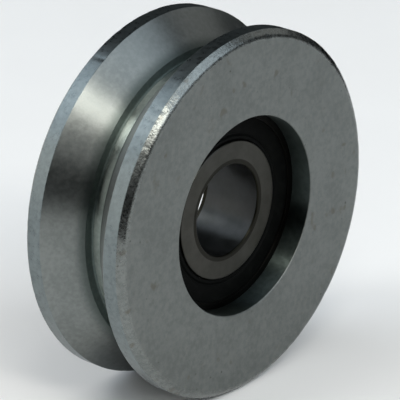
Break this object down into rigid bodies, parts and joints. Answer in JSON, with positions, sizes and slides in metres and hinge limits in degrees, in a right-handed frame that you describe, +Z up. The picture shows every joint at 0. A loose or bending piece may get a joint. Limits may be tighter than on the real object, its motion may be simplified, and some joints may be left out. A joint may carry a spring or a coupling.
{
  "type": "gate wheel",
  "caption": "V-groove gate wheel of turned zinc-plated steel that rolls on a rail, with a sealed ball bearing pressed into its hub and bored for a plain axle.",
  "frame": {"origin": "centre of the wheel: on the spin axis, half way between the front and back faces", "axes": "+Z up, +Y along the spin axis from the front face to the back face, +X to the side"},
  "size_m": [0.06, 0.02, 0.06],
  "materials": {
    "zinc_plated_steel": "turned, bright zinc plated, dulled and lightly stained",
    "bearing_ring_steel": "ground, with fine concentric marks",
    "ball_steel": "polished",
    "cage_steel": "pressed sheet",
    "seal_rubber": "matte moulded rubber",
    "seal_core_steel": "pressed sheet",
    "circlip_steel": "dark phosphate on spring steel, lightly oiled"
  },
  "bodies": {
    "hub": {"bearing_inner_ring": "bearing_ring_steel"},
    "wheel": {"wheel_body": "zinc_plated_steel", "bearing_outer_ring": "bearing_ring_steel", "front_seal": "seal_rubber", "front_seal_core": "seal_core_steel", "rear_seal": "seal_rubber", "rear_seal_core": "seal_core_steel", "circlip": "circlip_steel"},
    "cage": {"cage_front_half": "cage_steel", "cage_rear_half": "cage_steel", "cage_rivets": "cage_steel"},
    "ball_1_body": {"ball_1": "ball_steel"},
    "ball_2_body": {"ball_2": "ball_steel"},
    "ball_3_body": {"ball_3": "ball_steel"},
    "ball_4_body": {"ball_4": "ball_steel"},
    "ball_5_body": {"ball_5": "ball_steel"},
    "ball_6_body": {"ball_6": "ball_steel"},
    "ball_7_body": {"ball_7": "ball_steel"},
    "ball_8_body": {"ball_8": "ball_steel"}
  },
  "joints": [
    {"name": "wheel_spin", "type": "hinge", "parent": "hub", "child": "wheel", "pos_m": [0, 0, 0], "axis": [0, 1, 0], "continuous": true},
    {"name": "cage_spin", "type": "hinge", "parent": "hub", "child": "cage", "pos_m": [0, 0, 0], "axis": [0, 1, 0], "continuous": true},
    {"name": "ball_1_spin", "type": "hinge", "parent": "cage", "child": "ball_1_body", "pos_m": [0.0125, -0.0007, 0], "axis": [0, 1, 0], "continuous": true},
    {"name": "ball_2_spin", "type": "hinge", "parent": "cage", "child": "ball_2_body", "pos_m": [0.00884, -0.0007, 0.00884], "axis": [0, 1, 0], "continuous": true},
    {"name": "ball_3_spin", "type": "hinge", "parent": "cage", "child": "ball_3_body", "pos_m": [0, -0.0007, 0.0125], "axis": [0, 1, 0], "continuous": true},
    {"name": "ball_4_spin", "type": "hinge", "parent": "cage", "child": "ball_4_body", "pos_m": [-0.00884, -0.0007, 0.00884], "axis": [0, 1, 0], "continuous": true},
    {"name": "ball_5_spin", "type": "hinge", "parent": "cage", "child": "ball_5_body", "pos_m": [-0.0125, -0.0007, 0], "axis": [0, 1, 0], "continuous": true},
    {"name": "ball_6_spin", "type": "hinge", "parent": "cage", "child": "ball_6_body", "pos_m": [-0.00884, -0.0007, -0.00884], "axis": [0, 1, 0], "continuous": true},
    {"name": "ball_7_spin", "type": "hinge", "parent": "cage", "child": "ball_7_body", "pos_m": [0, -0.0007, -0.0125], "axis": [0, 1, 0], "continuous": true},
    {"name": "ball_8_spin", "type": "hinge", "parent": "cage", "child": "ball_8_body", "pos_m": [0.00884, -0.0007, -0.00884], "axis": [0, 1, 0], "continuous": true}
  ],
  "couplings": [
    {"joint": "cage_spin", "follows": "wheel_spin", "ratio": 0.61906},
    {"joint": "ball_1_spin", "follows": "wheel_spin", "ratio": 1.9807},
    {"joint": "ball_2_spin", "follows": "wheel_spin", "ratio": 1.9807},
    {"joint": "ball_3_spin", "follows": "wheel_spin", "ratio": 1.9807},
    {"joint": "ball_4_spin", "follows": "wheel_spin", "ratio": 1.9807},
    {"joint": "ball_5_spin", "follows": "wheel_spin", "ratio": 1.9807},
    {"joint": "ball_6_spin", "follows": "wheel_spin", "ratio": 1.9807},
    {"joint": "ball_7_spin", "follows": "wheel_spin", "ratio": 1.9807},
    {"joint": "ball_8_spin", "follows": "wheel_spin", "ratio": 1.9807}
  ]
}
